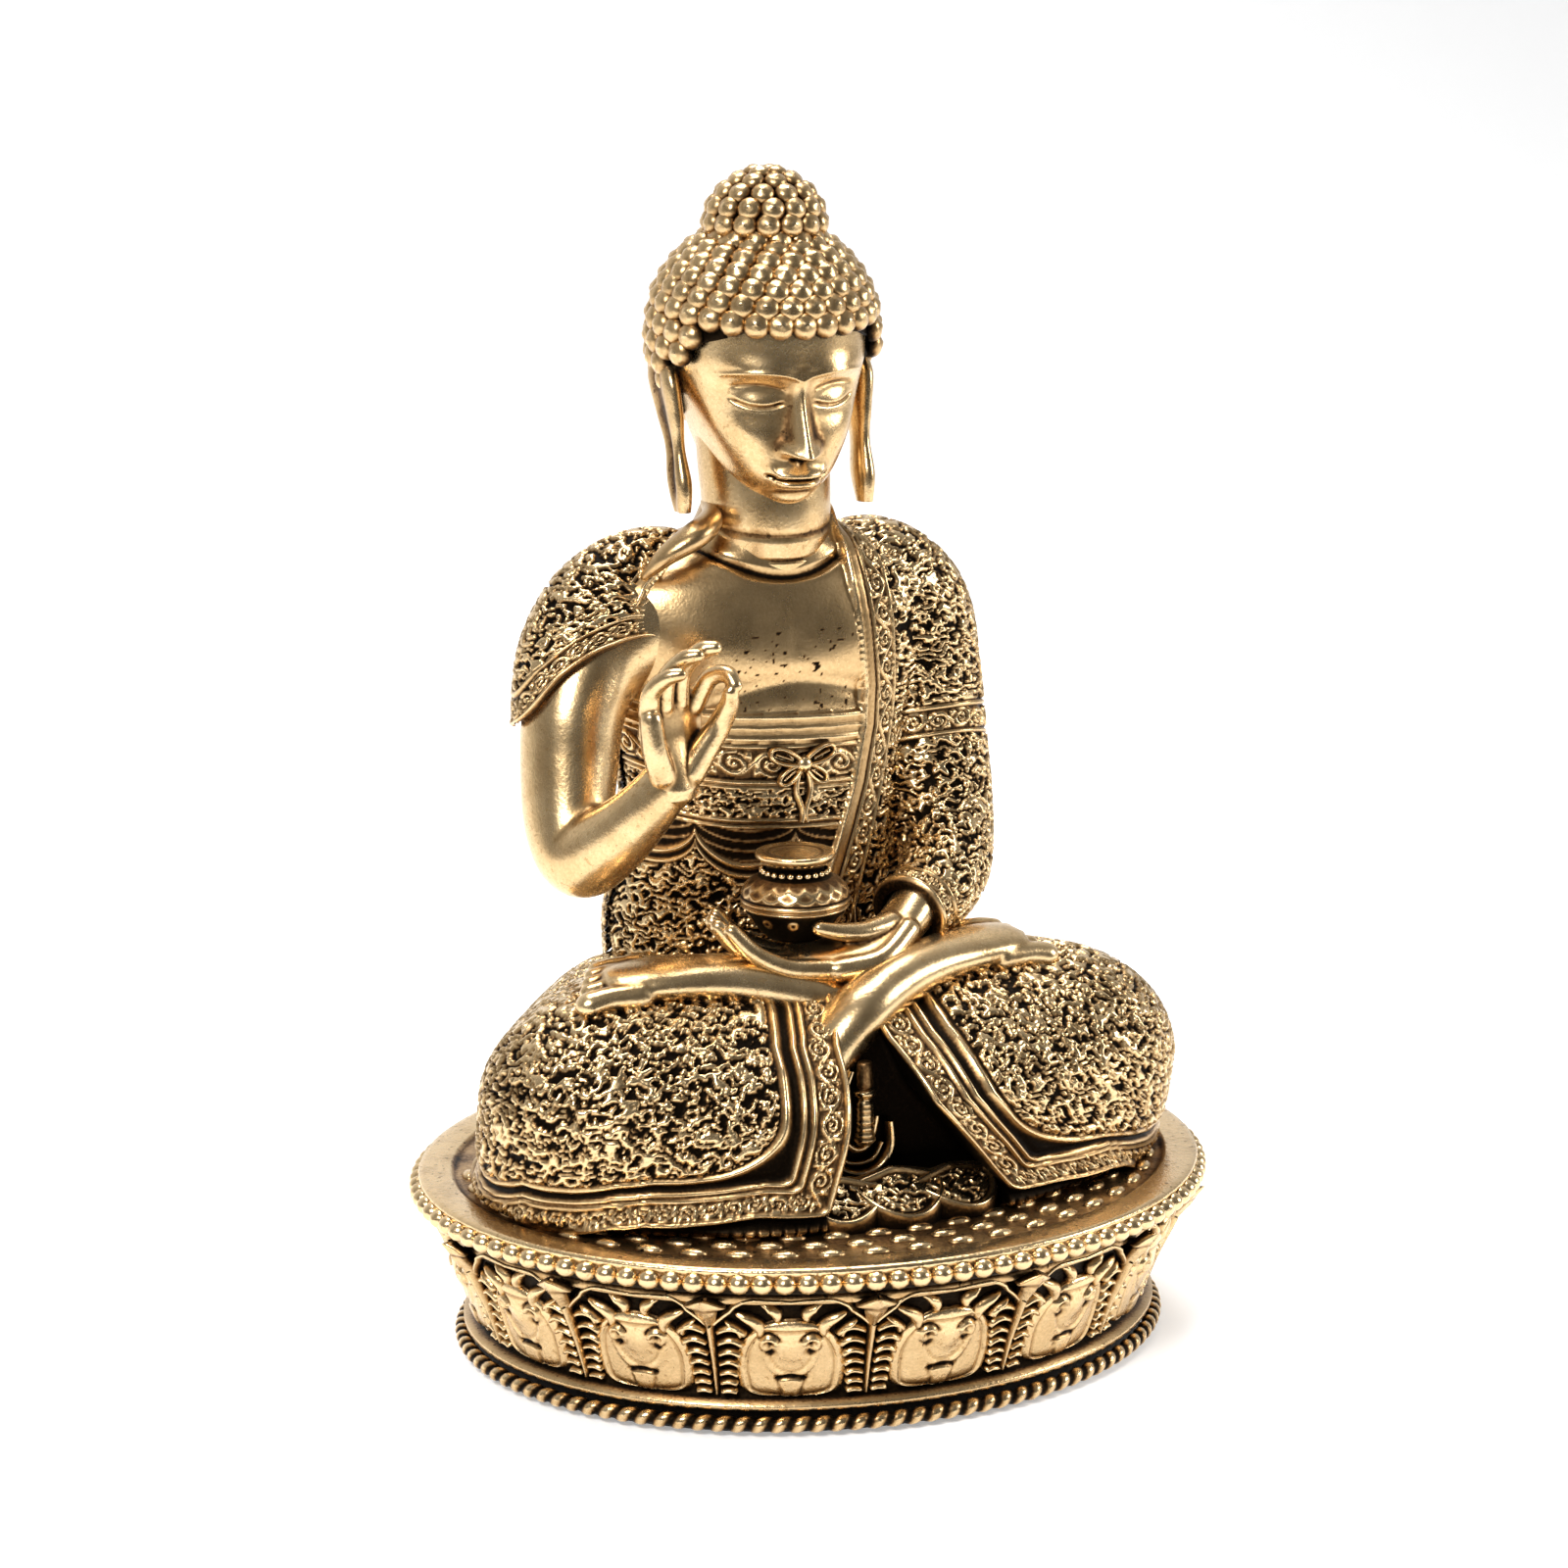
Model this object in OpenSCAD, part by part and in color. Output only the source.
// Seated figure on an oval lotus throne, cast metal in sections.
// Frame: +Z up, the figure faces -Y, its left hand is towards +X.
// Origin: centre of the underside of the felt pad.

/* [Throne] */
// Width of the throne over its rim
throne_w = 100; // [90:1:125]
// Depth of the throne over its rim
throne_d = 88; // [78:1:110]
// Height of the throne, floor to the flat ledge
throne_h = 22; // [19:0.5:27]
// Thickness of the drum's cast wall
drum_wall = 3; // [2:0.25:4]
// Thickness of the drum's top deck
deck_t = 3; // [2:0.25:4]
// Thickness of the seat plate
plate_t = 3.4; // [2.6:0.1:4.5]
// Width of the plain ledge round the seed pod
ledge_w = 4; // [3:0.25:5]
// Depth of the seed pod below the ledge
pod_drop = 0.5; // [0.2:0.1:1]
// Number of lotus panels round the drum
panels = 15; // [12:1:20]
// Turn of the panels round the drum
panel_turn = 1.5; // [0:0.5:8]

/* [Rim beads] */
// Thickness of the upper bead ring
bead_d = 2.8; // [2:0.1:3.2]
// Thickness of the lower rope ring
rope_d = 2.1; // [1.6:0.1:2.4]

/* [Underside] */
// Thickness of the felt pad
felt_t = 0.8; // [0.5:0.1:1.5]
// Thickness of the cover plate
cover_t = 1.6; // [1.2:0.1:2.2]
// Diameter of the cover screws
screw_d = 2.5; // [2:0.1:3]

/* [Tie rod] */
// Diameter of the tie rod
rod_d = 5; // [4:0.25:6]
// Depth of the rod's bore in the torso
rod_grip = 14; // [8:1:20]
// Thickness of the tie washer
washer_t = 1.2; // [0.8:0.1:2]
// Height of the tie nut
nut_h = 4; // [3:0.25:5]

/* [Pins] */
// Diameter of the seat dowels
dowel_d = 3; // [2:0.25:4]
// Diameter of the neck dowel
neck_pin_d = 4; // [3:0.25:5]
// Diameter of the wrist and jar pins
small_pin_d = 1.6; // [1.2:0.1:2]
// Play of a pin or a rod in its bore, on the diameter
pin_play = 0.2; // [0.1:0.05:0.4]
// Gap between castings at a seam
seam = 0.1; // [0.05:0.05:0.2]

/* [Jar] */
// Diameter of the jar's belly
jar_d = 12.4; // [10:0.2:14.8]
// Height of the jar, foot to lip
jar_h = 11; // [9:0.25:13]
// Thickness of the jar's rolled lip
lip_d = 1.7; // [1.2:0.1:2]

/* [Head] */
// Diameter of the curled hair cap
hair_d = 29.4; // [27:0.2:32]
// Thickness of the hair cap
hair_t = 1.6; // [1:0.1:2]
// Diameter of the knot of hair on the crown
knot_d = 16.4; // [13:0.2:18]

/* [Hidden] */
$fn = 48;

gold = "goldenrod";
steel = "lightsteelblue";
eps = 0.01;

// Throne levels and outlines. An oval is the rim's oval drawn in by an inset.
oval_n = 64;
floor_z = felt_t;
deck_top = throne_h - plate_t;
deck_low = deck_top - deck_t;
pod_z = throne_h - pod_drop;
belt_low = floor_z + rope_d + 0.8;
groove_in = 3;
bead_back = 1.2;
foot_in = 5.2;
rope_back_in = foot_in + rope_d + 0.4;
belt_in = foot_in + 1.6;
drum_foot_in = 8.2;
drum_head_in = 4.2;
screw_n = 4;
screw_ring = 0.66;
screw_grip = 6;
boss_d = screw_d + 4;
cover_in = drum_foot_in + drum_wall + 0.3;

// Figure levels, measured up from the seed pod
spigot_low = 19;
lap_wall = 4;
notch_back = 20;
dowel_x = 18;
dowel_y = -4;
dowel_up = 5;
dowel_z = deck_top + 0.8;
waist_z = 23.4;
neck_z = 75.6;
neck_top = neck_z + 3.4;
neck_low = neck_z - 6;
shoulder_z = 54.5;
shoulder_x = 15.5;
torso_y = 15.5;
rod_y = 14;
rod_top = pod_z + spigot_low + rod_grip;
head_c = [0, 15.6, 99.9];
hair_r = hair_d / 2;
skull_r = hair_r - hair_t;
hairline = -4.2;
nape = -13.5;
knot_c = head_c + [0, -0.6, hair_r - 2.2];
jar_c = [-4, -4.8, 29.6];

right_wrist = [-20.6, -6.6, 50.4];
left_wrist = [8.6, -6.6, 31];

function unit(v) = v / norm(v);
function semi(size, inset) = size / 2 - inset;
function oval(inset, z) = [for (i = [0:oval_n - 1])
    let (t = 360 * i / oval_n)
    [semi(throne_w, inset) * cos(t), semi(throne_d, inset) * sin(t), z]];

// Closed skin over a list of rings with equal numbers of points
module skin(rings) {
    n = len(rings[0]);
    m = len(rings);
    polyhedron(
        points = [for (r = rings) each r],
        faces = concat(
            [[for (i = [0:n - 1]) i]],
            [for (k = [0:m - 2]) for (i = [0:n - 1])
                let (j = (i + 1) % n)
                [k * n + i, (k + 1) * n + i, (k + 1) * n + j, k * n + j]],
            [[for (i = [n - 1:-1:0]) (m - 1) * n + i]]));
}

// One ring square to a direction: half width a along side, half height b
function ring(c, dir, side, a, b, n) =
    let (u = unit(side - dir * (side * dir)), v = cross(dir, u))
    [for (i = [0:n - 1]) c + u * a * cos(360 * i / n) + v * b * sin(360 * i / n)];

// Rings along a limb. Each station is [centre, half width, half height].
function limb(st, side, n, grow = 0) = [for (k = [0:len(st) - 1])
    let (p = st[max(k - 1, 0)][0], q = st[min(k + 1, len(st) - 1)][0])
    ring(st[k][0], unit(q - p), side, st[k][1] + grow, st[k][2] + grow, n)];

// A ring of beads or rope, as a plain tube round an oval
module oval_tube(inset, z, r, sides = 10) {
    n = 96;
    a = semi(throne_w, inset);
    b = semi(throne_d, inset);
    function at(i, j) = let (t = 360 * i / n, s = 360 * j / sides,
                             nx = cos(t) / a, ny = sin(t) / b, l = norm([nx, ny]))
        [a * cos(t) + r * cos(s) * nx / l, b * sin(t) + r * cos(s) * ny / l, z + r * sin(s)];
    polyhedron(
        points = [for (i = [0:n - 1]) for (j = [0:sides - 1]) at(i, j)],
        faces = [for (i = [0:n - 1]) for (j = [0:sides - 1])
            let (i2 = (i + 1) % n, j2 = (j + 1) % sides)
            [i * sides + j, i * sides + j2, i2 * sides + j2, i2 * sides + j]]);
}

module oval_plate(inset, z, t) {
    translate([0, 0, z]) linear_extrude(t) polygon([for (p = oval(inset, 0)) [p.x, p.y]]);
}

// Children placed on the drum at an angle of the oval, facing out
module on_oval(t, inset) {
    a = semi(throne_w, inset);
    b = semi(throne_d, inset);
    translate([a * cos(t), b * sin(t), 0]) rotate(atan2(sin(t) / b, cos(t) / a) + 90) children();
}

module on_seat() { translate([0, 0, pod_z]) children(); }

module at_screws() {
    for (k = [0:screw_n - 1])
        let (t = 45 + 90 * k)
            translate([screw_ring * throne_w / 2 * cos(t), screw_ring * throne_d / 2 * sin(t), 0])
                children();
}

module felt_pad() {
    color("black") oval_plate(foot_in + rope_d + 0.6, 0, felt_t);
}

module cover_plate() {
    color(steel) difference() {
        oval_plate(cover_in, floor_z, cover_t);
        at_screws() {
            translate([0, 0, floor_z - eps]) cylinder(d = screw_d + pin_play, h = cover_t + 2 * eps);
            translate([0, 0, floor_z - eps])
                cylinder(d1 = 2 * screw_d + pin_play, d2 = screw_d + pin_play, h = screw_d / 2);
        }
    }
}

module cover_screws() {
    slot_w = 0.6;
    color(steel) at_screws() difference() {
        translate([0, 0, floor_z + seam]) union() {
            cylinder(d = screw_d, h = cover_t + screw_grip - seam);
            cylinder(d1 = 2 * (screw_d - seam), d2 = screw_d, h = screw_d / 2 - seam);
        }
        translate([-screw_d, -slot_w / 2, floor_z]) cube([2 * screw_d, slot_w, slot_w]);
    }
}

module throne_drum() {
    cavity_low = floor_z + cover_t;
    lip_in = drum_foot_in + drum_wall;
    // The belt over the rope ring, as heights and insets
    belt = [[rope_d, rope_back_in], [rope_d + 0.3, belt_in], [rope_d + 1, belt_in],
            [rope_d + 1.5, drum_foot_in]];
    color(gold) difference() {
        union() {
            skin(concat(
                [oval(drum_head_in + drum_wall, deck_low), oval(lip_in, floor_z + 5),
                 oval(lip_in, floor_z)],
                [oval(rope_back_in, floor_z)],
                [for (s = belt) oval(s[1], floor_z + s[0])],
                [oval(drum_head_in + 2.1, floor_z + 0.6 * (deck_top - floor_z))],
                [oval(drum_head_in, deck_top - 2.2)],
                [oval(groove_in, deck_top - 1.6), oval(groove_in, deck_top)]));
            at_screws() translate([0, 0, cavity_low + seam])
                cylinder(d = boss_d, h = deck_low - cavity_low - seam + 0.5);
        }
        at_screws() translate([0, 0, cavity_low]) cylinder(d = screw_d, h = screw_grip + 1);
        translate([0, rod_y, deck_low - 1]) cylinder(d = rod_d + pin_play, h = deck_t + 2);
    }
}

module lower_rope_ring() {
    color(gold) oval_tube(foot_in + rope_d / 2, floor_z + rope_d / 2 - 0.3, rope_d / 2);
}

// Convex shield on the drum's side, leaning out with it
module shield(w, h) {
    n = 20;
    function pane(k, y) = [for (i = [0:n - 1])
        let (t = 360 * i / n, c = cos(t), s = sin(t), p = 0.6)
        [k * w / 2 * sign(c) * pow(abs(c), p), y, k * h / 2 * sign(s) * pow(abs(s), p)]];
    skin([pane(1, 0), pane(1, -0.5), pane(0.86, -1), pane(0.45, -1.5)]);
}

panel_low = belt_low + 1.3;
panel_high = deck_top - 2.6;
panel_lean = atan2(drum_foot_in - drum_head_in, panel_high - panel_low);
panel_share = 0.59;
wall_mid_in = (drum_foot_in + drum_head_in) / 2;

module lotus_panels() {
    arc = 360 / panels;
    color(gold) for (k = [0:panels - 1])
        let (t = -90 + panel_turn + k * arc,
             pitch = PI / 180 * arc * norm([throne_w / 2 * sin(t), throne_d / 2 * cos(t)]))
            on_oval(t, wall_mid_in - 1.5 * seam) translate([0, 0, (panel_low + panel_high) / 2])
                rotate([panel_lean, 0, 0]) shield(panel_share * pitch, panel_high - panel_low);
}

// Slim column between two shields, with a leaf cap that flares out under the rim
module column() {
    h = panel_high - panel_low;
    lean = tan(panel_lean);
    // A ring runs from the drum's wall out to its depth, with its front corners taken off
    function bar(w, d, wall, z) = [for (p = [[w, 0], [0.8 * w, -0.8 * d], [0.4 * w, -d],
        [-0.4 * w, -d], [-0.8 * w, -0.8 * d], [-w, 0]]) [-p.x, wall + p.y, z]];
    // Half width, depth and share of the height
    levels = [[1.7, 1.2, 0], [1.2, 1.6, 0.45], [1.3, 2.2, 0.75], [2.6, 3, 0.88], [2.8, 3.9, 0.97],
              [2, 4.1, 1.04]];
    skin([for (s = levels) bar(s[0], s[1], -0.2 - lean * h * (s[2] - 0.5), h * s[2])]);
}

module lotus_columns() {
    arc = 360 / panels;
    color(gold) for (k = [0:panels - 1])
        on_oval(-90 + panel_turn + (k + 0.5) * arc, wall_mid_in - seam)
            translate([0, 0, panel_low]) column();
}

// The lap's footprint, with room round it, keeps the seeds clear
function clear_of_lap(x, y) = pow(x / 48.5, 2) + pow((y + 5) / 31.4, 2) > 1;

module seat_plate() {
    seed_d = 2.2;
    seed_gap = 2.9;
    pod_in = ledge_w + bead_d / 2;
    color(gold) difference() {
        union() {
            difference() {
                oval_plate(bead_d / 2 + bead_back, deck_top, plate_t);
                oval_plate(pod_in, pod_z, pod_drop + 1);
            }
            for (row = [0:2])
                let (inset = pod_in + 1.9 + seed_gap * row, n = 64 - 6 * row)
                    for (i = [0:n - 1])
                        let (t = 360 * (i + 0.5 * (row % 2)) / n,
                             x = semi(throne_w, inset) * cos(t), y = semi(throne_d, inset) * sin(t))
                            if (clear_of_lap(x, y) && y < 6)
                                translate([x, y, pod_z - 0.5]) sphere(d = seed_d, $fn = 24);
        }
        translate([0, rod_y, deck_top - 1]) cylinder(d = rod_d + pin_play, h = plate_t + 2);
        for (s = [-1, 1])
            translate([s * dowel_x, dowel_y, dowel_z]) cylinder(d = dowel_d, h = plate_t);
    }
}

module upper_bead_ring() {
    color(gold) difference() {
        oval_tube(bead_d / 2, throne_h - bead_d / 2 - 0.2, bead_d / 2);
        oval_plate(bead_d / 2 + bead_back - seam, deck_top, plate_t + 1);
    }
}

module tie_rod() {
    color(steel) translate([0, rod_y, deck_low - washer_t - nut_h - 2])
        cylinder(d = rod_d, h = rod_top - deck_low + washer_t + nut_h + 1.5);
}

module tie_washer() {
    color(steel) translate([0, rod_y, deck_low - washer_t]) difference() {
        cylinder(d = 2.2 * rod_d, h = washer_t);
        translate([0, 0, -1]) cylinder(d = rod_d + pin_play, h = washer_t + 2);
    }
}

module tie_nut() {
    color(steel) translate([0, rod_y, deck_low - washer_t - nut_h]) difference() {
        cylinder(d = 1.85 * rod_d, h = nut_h, $fn = 6);
        translate([0, 0, -1]) cylinder(d = rod_d + eps, h = nut_h + 2);
    }
}

module seat_dowels() {
    color(steel) for (s = [-1, 1])
        translate([s * dowel_x, dowel_y, dowel_z + seam])
            cylinder(d = dowel_d - eps, h = pod_z + dowel_up - dowel_z - seam);
}

// Crossed legs under the robe, as one soft mound
module lap_mound() {
    hull() {
        for (s = [-1, 1]) {
            translate([s * 26.8, -7.5, 12.4]) scale([17.4, 15.8, 13.4]) sphere(1, $fn = 32);
            translate([s * 17, 12, 10.8]) scale([15, 16, 13.6]) sphere(1, $fn = 24);
        }
        translate([0, -19, 9]) scale([16, 13, 11.5]) sphere(1, $fn = 24);
        translate([0, -4, 0]) scale([44, 25.5, 1]) cylinder(r = 1, h = 1.6, $fn = 48);
    }
}

// Room inside the casting, open below, with posts left round the rod and the dowels
module lap_cavity() {
    difference() {
        intersection() {
            hull() {
                for (s = [-1, 1]) {
                    translate([s * 26, -6, 8]) scale([13.5, 12, 8]) sphere(1, $fn = 24);
                    translate([s * 16, 11, 7]) scale([11, 12, 8]) sphere(1, $fn = 24);
                }
                translate([0, -2, -2]) scale([37, 19, 1]) cylinder(r = 1, h = 2, $fn = 32);
            }
            translate([-50, -50, -1]) cube([100, 100, spigot_low - lap_wall + 1]);
        }
        translate([0, rod_y, -2]) cylinder(d = rod_d + 2 * lap_wall, h = 40);
        for (s = [-1, 1])
            translate([s * dowel_x, dowel_y, -2]) cylinder(d = dowel_d + 1.2 * lap_wall, h = 40);
        translate([-16, lap_wall - notch_back - 60, -2]) cube([34, 60, 40]);
    }
}

// The robe's two hems part in front and leave a tall notch between the knees.
// A gap draws the notch in, so that what fills it clears its walls.
module notch(gap) {
    edge = [[-13, -1], [-7, 12], [-5, 19.5], [-4.5, 30], [-1.5, 30], [0, 19.5], [4, 12], [15.5, -1]];
    translate([0, gap - notch_back, 0]) rotate([90, 0, 0]) linear_extrude(30)
        polygon([for (p = edge) [p.x + gap * (p.x < -1.7 ? 1 : -1), p.y]]);
}

module lap() {
    color(gold) on_seat() difference() {
        intersection() {
            lap_mound();
            translate([-60, -60, 0]) cube([120, 120, 40]);
        }
        notch(0);
        lap_cavity();
        torso_spigot(seam);
        torso_body(seam);
        translate([0, rod_y, -1]) cylinder(d = rod_d + pin_play, h = 40);
        for (s = [-1, 1])
            translate([s * dowel_x, dowel_y, -1]) cylinder(d = dowel_d, h = 1 + dowel_up + 0.4);
    }
}

// Oval tenon under the torso, and the socket for it in the lap
module torso_spigot(grow = 0) {
    n = 48;
    translate([0, torso_y, spigot_low - grow]) linear_extrude(40)
        polygon([for (i = [0:n - 1]) [(19.5 + grow) * cos(360 * i / n), (12 + grow) * sin(360 * i / n)]]);
}

// One folded lobe of the hem, a flat petal that rises to the back
module petal_fold(w, l, lean) {
    n = 16;
    function leaf(k, z) = [for (i = [0:n - 1])
        let (t = 360 * i / n) [k * w / 2 * cos(t), k * l / 2 * sin(t), z]];
    rotate([lean, 0, 0]) skin([leaf(0.9, -0.6), leaf(1, 0), leaf(0.8, 0.7)]);
}

module hem_fan() {
    color(gold) on_seat() difference() {
        union() {
            translate([-3.2, -25.6, 1.9]) rotate(-14) petal_fold(11, 8.5, 16);
            translate([3.4, -26.4, 2.1]) rotate(8) petal_fold(11, 9.5, 16);
            translate([10, -26, 1.9]) rotate(26) petal_fold(10, 8, 16);
            translate([-8, -24, 0.05]) cube([21, 4, 2]);
        }
        translate([-30, -60, -20]) cube([60, 60, 20.05]);
        lap_solid();
    }
}

// The lap with its notch, for cutting what lies against it
module lap_solid() {
    difference() {
        lap_mound();
        notch(seam);
    }
}

module sash_tassel() {
    color(gold) on_seat() translate([-1.2, -notch_back - 1.6, 4]) rotate([4, 4, 0]) {
        cylinder(d1 = 2.6, d2 = 1.6, h = 4);
        translate([0, 0, 3.9]) cylinder(d1 = 1.6, d2 = 2.4, h = 1.5);
        translate([0, 0, 5.3]) cylinder(d1 = 2.4, d2 = 1, h = 5.5);
    }
}

right_leg = [[[-5.6, -17.8, 20.2], 4.4, 3.6], [[-1, -17.3, 24], 4.2, 3.6], [[5.5, -14.8, 26.2], 3.6, 3.1],
             [[12.5, -11.4, 26.8], 4.6, 2.9], [[20, -8.6, 26.9], 5, 2.7], [[26.4, -7, 26.5], 4.2, 2.2],
             [[28.8, -6.4, 26.2], 2.6, 1.3]];
left_leg = [[[-2, -11.4, 25.2], 3.6, 3.2], [[-8.5, -11, 26.6], 3.6, 3.2], [[-16, -9.6, 27.2], 4.6, 3],
            [[-23, -8.4, 27.3], 5, 2.8], [[-29.6, -7.6, 26.6], 4.4, 2.2], [[-31.6, -7.4, 26.2], 2.6, 1.2]];

module right_foot() {
    color(gold) on_seat() difference() {
        skin(limb(right_leg, [0, -1, 0], 16));
        lap_mound();
    }
}

module left_foot() {
    color(gold) on_seat() difference() {
        skin(limb(left_leg, [0, -1, 0], 16));
        lap_mound();
        skin(limb(right_leg, [0, -1, 0], 16, seam));
    }
}

// Levels of the robed body: height, half width, half depth, middle
torso_levels = [[waist_z, 20.5, 12.8, 15.6], [29, 20.6, 12.6, 15.6], [37, 18.6, 12, 15.5],
                [45, 18.2, 11.6, 15.5], [52, 19.5, 11.6, 15.8], [60, 22, 11.8, 16.2],
                [66, 24.5, 11.6, 16.6], [70, 23.5, 11, 16.8], [73, 18.5, 9.8, 16.8],
                [75, 12, 8.6, 16.4], [76.5, 8.4, 7.6, 15.6], [neck_top, 7.4, 7.2, 15]];

module torso_body(grow = 0) {
    skin([for (s = torso_levels)
        ring([0, s[3], s[0]], [0, 0, 1], [1, 0, 0], s[1] + grow, s[2] + grow, 32)]);
}

module torso() {
    color(gold) on_seat() difference() {
        union() {
            torso_body();
            intersection() {
                torso_spigot();
                translate([-30, -30, spigot_low]) cube([60, 80, waist_z - spigot_low + 1]);
            }
        }
        for (s = [-1, 1])
            translate([s * (shoulder_x + 20), torso_y, shoulder_z + 20]) cube([40, 60, 40], center = true);
        translate([0, rod_y, spigot_low - 1]) cylinder(d = rod_d, h = rod_grip + 1);
        translate([head_c.x, head_c.y, neck_low]) cylinder(d = neck_pin_d, h = 30);
    }
}

// Girdle across the front of the body, with its bow and knotted ends
module waist_sash() {
    girdle_t = 0.7;
    girdle_z = 46.4;
    girdle_h = 3.6;
    color(gold) on_seat() difference() {
        union() {
            intersection() {
                torso_body(girdle_t);
                translate([-13, -20, girdle_z]) cube([26, 28.5, girdle_h]);
            }
            translate([0, 3.9, girdle_z + 1.8]) rotate([90, 0, 0]) cylinder(d = 3, h = 1.6);
            for (s = [-1, 1]) {
                translate([s * 3.2, 4.2, girdle_z + 2.6]) rotate([90, 0, 0]) cylinder(d = 4, h = 1.7);
                translate([s * 1.6, 4, girdle_z - 0.2]) rotate([90, s * 20, 0]) cylinder(d = 2.4, h = 1.7);
            }
        }
        torso_body(seam);
    }
}

right_sleeve = [[[-12, 16.6, 67.4], 8.6, 9.6], [[-17, 16.4, 67], 8.6, 9.6], [[-22, 15, 63.4], 8.2, 8.8],
                [[-25.2, 12.8, 58.4], 7.4, 8], [[-26.2, 11.2, 54.4], 7, 7.6]];

module right_mantle() {
    color(gold) on_seat() difference() {
        skin(limb(right_sleeve, [0, 1, 0], 24));
        translate([-shoulder_x - seam, -20, 40]) cube([60, 80, 60]);
        translate([-60, -20, 20]) cube([120, 80, shoulder_z - 20 + seam]);
    }
}

left_sleeve = [[[12, 16.6, 67.4], 8.6, 9.6], [[16.5, 16.6, 67], 8.4, 9.6], [[19.6, 15.8, 63], 7.6, 8.8],
               [[20.6, 14.6, 55.5], 6.8, 8], [[21, 12, 46], 6.4, 7.4], [[21, 8, 38.4], 6.2, 6.6],
               [[19, 2.4, 34.6], 5.8, 5.4], [[15.4, -2.4, 32.6], 5.2, 4.8], [[10.8, -5.6, 31.4], 4.6, 4.2]];

module left_mantle() {
    color(gold) on_seat() difference() {
        skin(limb(left_sleeve, [0, 1, 0], 24));
        translate([shoulder_x + seam - 60, -20, shoulder_z]) cube([60, 80, 60]);
        torso_body(seam);
        translate([-60, -20, 20]) cube([60 + 9.6, 80, 60]);
        skin(limb(right_leg, [0, -1, 0], 16, seam));
        pin_at(left_wrist, small_pin_d);
    }
}

right_arm = [[[-26.4, 11.2, 54.6], 5.8, 6.2], [[-27.2, 9.8, 50], 5.4, 6], [[-28.2, 7.4, 43.4], 5.2, 6],
             [[-28.2, 4.2, 39.6], 4.8, 5.4], [[-26, -0.6, 42.4], 4.4, 4.6], [[-23.4, -4.4, 46.4], 3.6, 3.6],
             [right_wrist, 3, 3]];

module right_forearm() {
    color(gold) on_seat() difference() {
        skin(limb(right_arm, [1, 0, 0], 20));
        torso_body(seam);
        translate([-60, -20, shoulder_z]) cube([120, 80, 40]);
        at_right_wrist() translate([0, 0, -2.6]) cylinder(d = small_pin_d, h = 4);
    }
}

// Placed at the right wrist, along the slope of the forearm
module at_right_wrist() {
    translate(right_wrist) rotate(a = 48, v = [1, -0.72, 0]) children();
}

// Short pins that hold the hands and the jar
module pin_at(p, d, len = 4) {
    translate(p) rotate([0, -90, 0]) translate([0, 0, -len / 2]) cylinder(d = d, h = len);
}

module right_wrist_pin() {
    color(steel) on_seat() at_right_wrist() translate([0, 0, -2.5]) cylinder(d = small_pin_d - eps, h = 5);
}

module left_wrist_pin() {
    color(steel) on_seat() pin_at(left_wrist, small_pin_d - eps);
}

// A finger is a limb through its knuckles
module finger(joints, r) {
    skin(limb([for (k = [0:len(joints) - 1])
        let (slim = r * (1 - 0.09 * k)) [joints[k], slim, slim]], [1, 0.3, 0], 8));
}

// Right hand raised, palm forward, thumb and first finger closed in a ring
module right_hand() {
    w = right_wrist + [0.4, -0.5, 0.9];
    palm = [[w, 2.9, 2.2], [w + [0.2, -0.7, 3], 4, 2.2], [w + [0.2, -0.9, 7], 4.6, 2],
            [w + [0.2, -0.6, 9.5], 4.4, 1.8]];
    color(gold) on_seat() difference() {
        union() {
            skin(limb(palm, [1, 0.2, 0], 16));
            finger([w + [-3.2, -0.4, 8], w + [-3.7, -0.8, 12], w + [-3.4, -1.6, 14.5]], 1.15);
            finger([w + [-1.2, -0.5, 8.5], w + [-1.4, -1, 13.6], w + [-0.9, -2, 16.6]], 1.25);
            finger([w + [1, -0.6, 8.5], w + [1.2, -1.2, 14], w + [1.7, -2.4, 17]], 1.25);
            finger([w + [3, -0.8, 8], w + [4.6, -2.2, 12.4], w + [5.2, -4.6, 11]], 1.2);
            finger([w + [2.6, -1.2, 2], w + [5.2, -2.8, 5], w + [5.3, -4.6, 8.6]], 1.35);
        }
        at_right_wrist() translate([0, 0, -4]) cylinder(d = small_pin_d, h = 6.6);
        skin(limb(right_arm, [1, 0, 0], 20, seam));
    }
}

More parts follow.
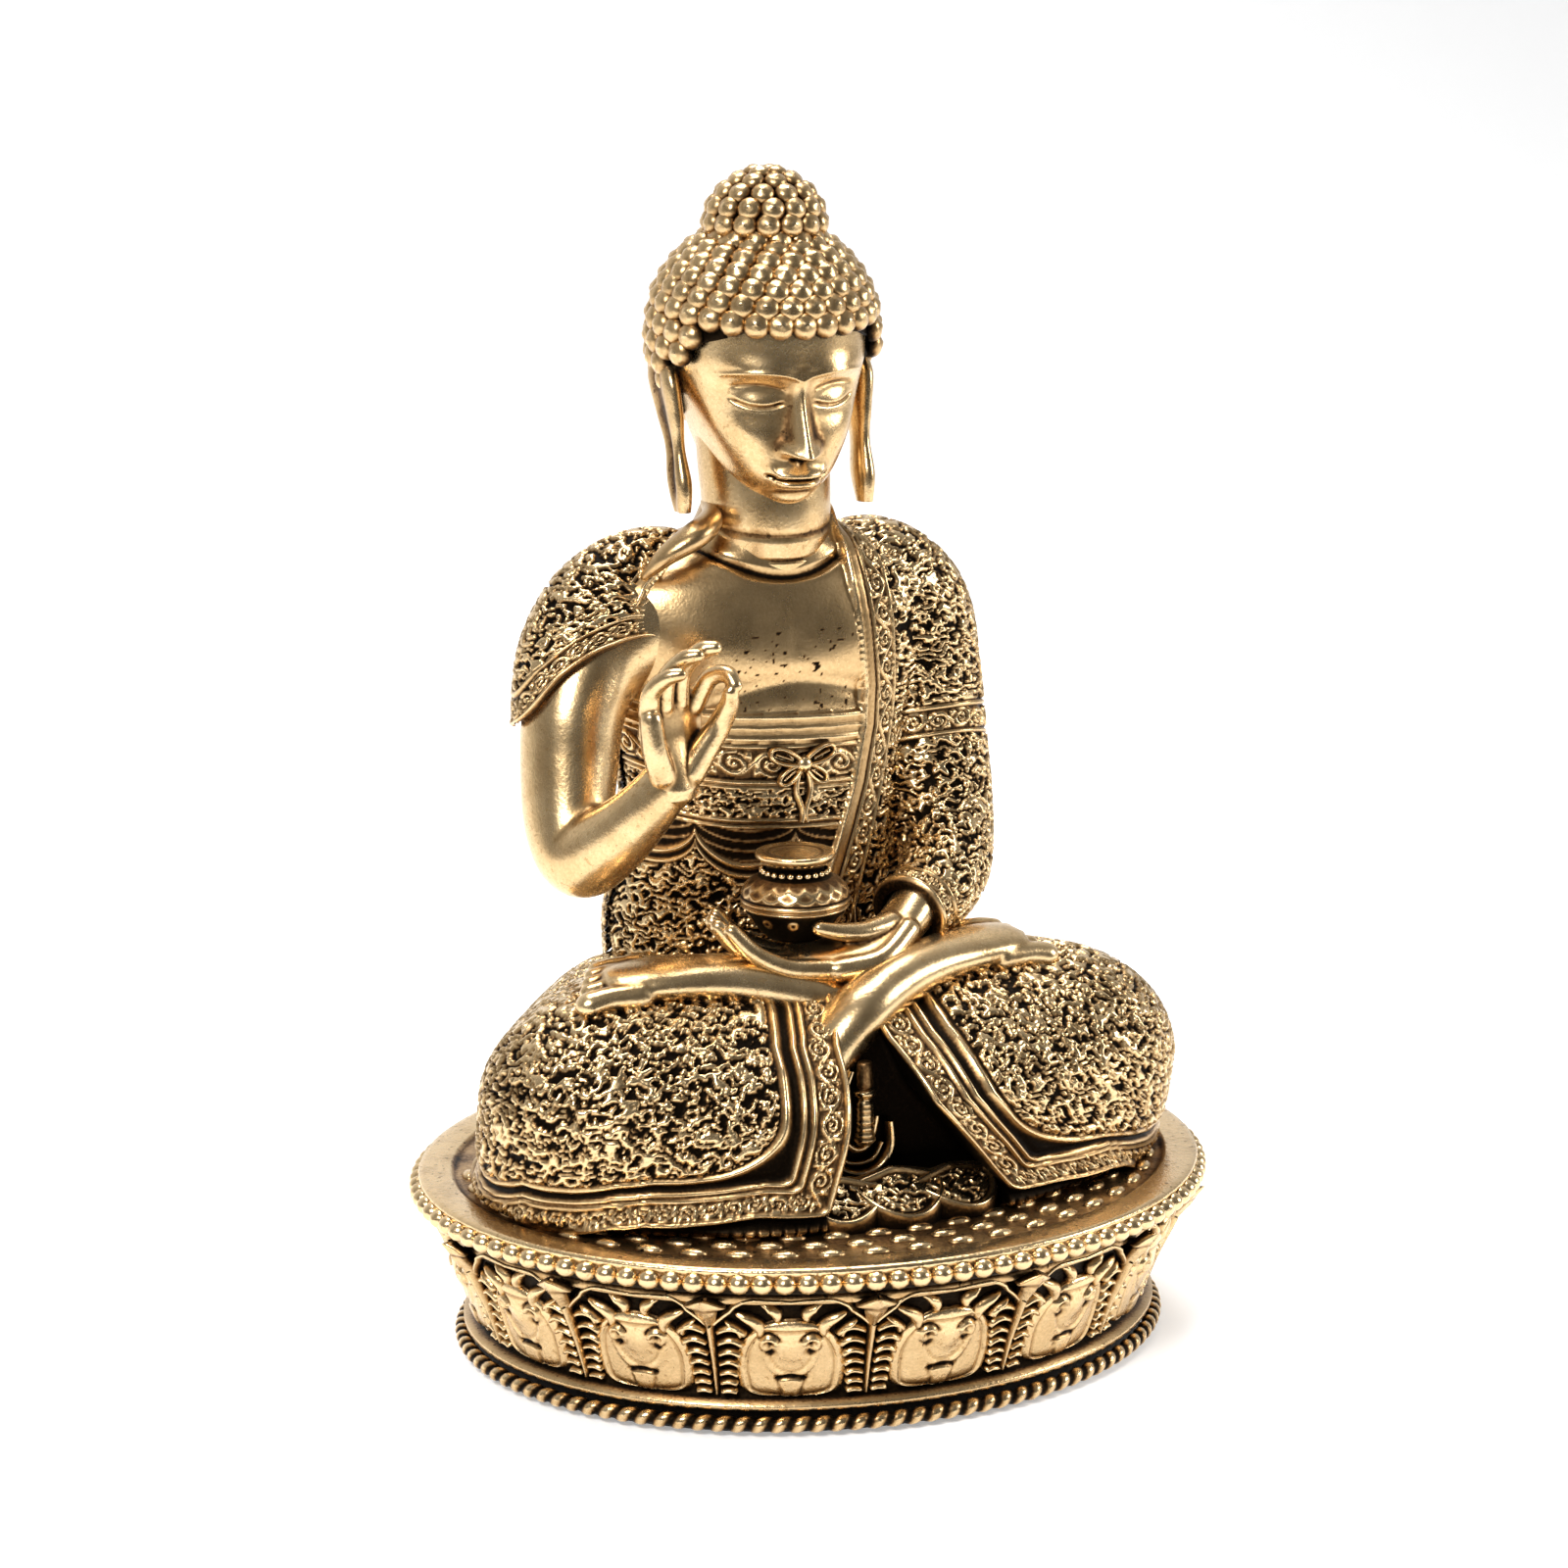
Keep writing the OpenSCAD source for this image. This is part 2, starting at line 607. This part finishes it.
// Left hand laid palm up under the jar
module left_hand() {
    w = left_wrist + [-0.9, -0.2, -0.3];
    palm = [[w, 2.4, 2.9], [w + [-4, -0.5, -2.4], 1.9, 4], [w + [-9, -0.4, -3], 1.7, 4.6],
            [w + [-13.4, -0.8, -2.2], 1.6, 4.2]];
    color(gold) on_seat() difference() {
        union() {
            skin(limb(palm, [0, 0, 1], 16));
            for (k = [0:3])
                let (y = -3.2 + 2.05 * k, reach = [9.6, 10.6, 10, 8][k])
                    finger([w + [-12.4, y - 0.6, -2.3], w + [-13 - 0.5 * reach, y - 0.8, -0.9],
                            w + [-13 - reach, y - 1.2, 1.8]], 1.2);
            finger([w + [-3, -3.4, -1.2], w + [-6.6, -5.8, 0], w + [-10.6, -6.2, 1.2]], 1.3);
        }
        pin_at(left_wrist, small_pin_d, 6);
        translate([jar_c.x, jar_c.y, jar_c.z - seam]) cylinder(d = jar_d + 0.6, h = 20);
        translate([jar_c.x, jar_c.y, jar_c.z - 1.6]) cylinder(d = small_pin_d, h = 4);
        skin(limb(right_leg, [0, -1, 0], 16, seam));
        skin(limb(left_leg, [0, -1, 0], 16, seam));
        skin(limb(left_sleeve, [0, 1, 0], 24, seam));
    }
}

module alms_jar() {
    r = jar_d / 2;
    neck_r = 0.55 * r;
    lip_r = 0.67 * r;
    color(gold) on_seat() translate(jar_c) difference() {
        rotate_extrude() union() {
            polygon([[0, 0], [0.6 * r, 0], [neck_r, 0.05 * jar_h], [0.62 * r, 0.14 * jar_h],
                     [0.86 * r, 0.28 * jar_h], [0.98 * r, 0.4 * jar_h], [r, 0.5 * jar_h],
                     [0.92 * r, 0.62 * jar_h], [neck_r, 0.74 * jar_h], [neck_r, 0.86 * jar_h],
                     [lip_r, jar_h - 0.6 * lip_d], [0, jar_h - 0.6 * lip_d]]);
            translate([lip_r, jar_h - lip_d / 2]) circle(d = lip_d, $fn = 24);
        }
        translate([0, 0, -1]) cylinder(d = small_pin_d, h = 4);
    }
}

module jar_pin() {
    color(steel) on_seat() translate([jar_c.x, jar_c.y, jar_c.z - 1.5])
        cylinder(d = small_pin_d - eps, h = 4.4);
}

module neck_pin() {
    color(steel) on_seat() translate([head_c.x, head_c.y, neck_low + 0.5])
        cylinder(d = neck_pin_d - eps, h = 14);
}

// Long ear with a heavy lobe
module ear(side) {
    // Place beside the skull, half depth and half thickness
    stations = [[[-0.2, 1.4, -2.4], 1.2, 1], [[-0.9, 0.4, -7], 2.4, 1.5], [[-0.6, -1.4, -12], 1.7, 1],
                [[-0.8, -3.2, -17.4], 1.6, 1.2], [[-0.9, -3.9, -20.8], 0.8, 0.7]];
    skin(limb([for (s = stations)
        [head_c + [side * (skull_r + s[0].x), s[0].y, s[0].z], s[1], s[2]]], [0, 1, 0], 12));
}

module head() {
    jaw = [0, head_c.y - 5.2, head_c.z - 12.4];
    color(gold) on_seat() difference() {
        union() {
            hull() {
                translate(head_c) sphere(skull_r - 2 * seam, $fn = 32);
                translate(jaw) scale([9.4, 8.4, 9.4]) sphere(1, $fn = 32);
            }
            translate([0, head_c.y - skull_r + 2.4, head_c.z - 12.5]) rotate([-9, 0, 0])
                cylinder(d1 = 4.4, d2 = 2, h = 11);
            translate([0, head_c.y, neck_top + seam]) cylinder(r1 = 7.2, r2 = 8, h = 6);
            ear(1);
            ear(-1);
        }
        translate([0, 0, neck_top + seam - 30]) cube([80, 80, 60], center = true);
        hair_shell(seam);
        translate([head_c.x, head_c.y, neck_low]) cylinder(d = neck_pin_d, h = 15);
    }
}

// Shell of curls over the skull, cut off along the hairline and the nape
module hair_shell(grow = 0) {
    difference() {
        translate(head_c) sphere(hair_r + 20 * grow);
        translate(head_c) sphere(skull_r - 0.5 * grow);
        translate([0, head_c.y + 1 - grow, head_c.z + hairline]) rotate([-24, 0, 0])
            translate([-30, -40, -40 - grow]) cube([60, 40, 40]);
        translate([-30, -30, head_c.z + nape - 40 - grow]) cube([60, 90, 40]);
    }
}

module hair_cap() {
    color(gold) on_seat() hair_shell();
}

module hair_knot() {
    color(gold) on_seat() difference() {
        translate(knot_c) sphere(d = knot_d);
        translate(head_c) sphere(hair_r + seam / 2);
    }
}

felt_pad();
cover_plate();
cover_screws();
throne_drum();
lower_rope_ring();
lotus_panels();
lotus_columns();
seat_plate();
upper_bead_ring();
tie_rod();
tie_washer();
tie_nut();
seat_dowels();
lap();
hem_fan();
sash_tassel();
right_foot();
left_foot();
torso();
waist_sash();
right_mantle();
left_mantle();
right_forearm();
right_hand();
right_wrist_pin();
left_hand();
left_wrist_pin();
alms_jar();
jar_pin();
neck_pin();
head();
hair_cap();
hair_knot();
